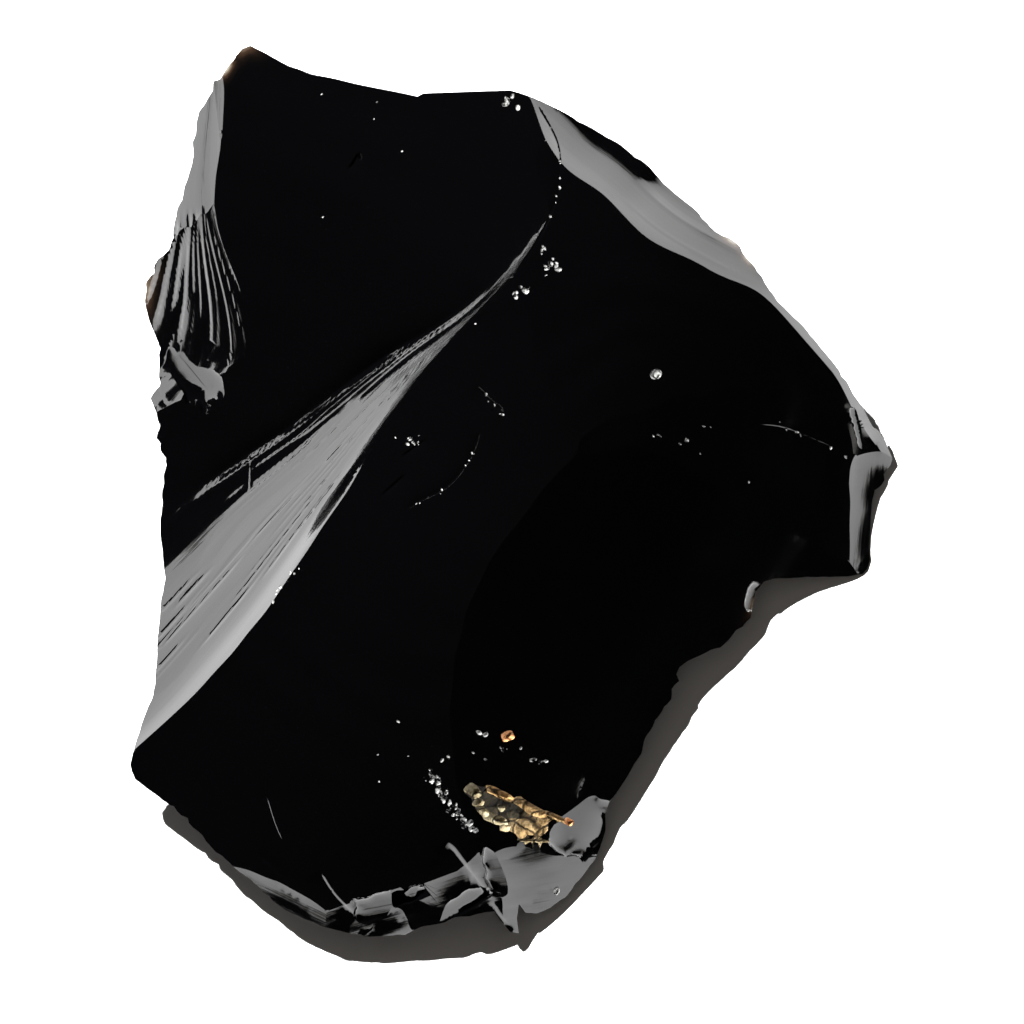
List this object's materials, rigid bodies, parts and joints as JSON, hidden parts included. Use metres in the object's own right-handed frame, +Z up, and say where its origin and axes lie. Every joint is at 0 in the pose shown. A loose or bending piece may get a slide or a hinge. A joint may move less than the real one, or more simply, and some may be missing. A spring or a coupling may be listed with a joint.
{
  "type": "obsidian chunk",
  "caption": "Palm-sized chunk of black volcanic glass with curved fracture faces, sharp edges and a patch of tan crust, resting on a flat facet.",
  "frame": {"origin": "centre of the bounding box, at its bottom, on the flat facet that the stone rests on", "axes": "+Y along the longest side, towards the thin top tip; +Z up from the resting facet, the shortest side"},
  "size_m": [0.0766, 0.0892, 0.0265],
  "materials": {
    "obsidian": "glossy natural glass, near black, with a small patch of dull tan crust"
  },
  "bodies": {
    "root": {"obsidian_chunk": "obsidian"}
  },
  "joints": []
}
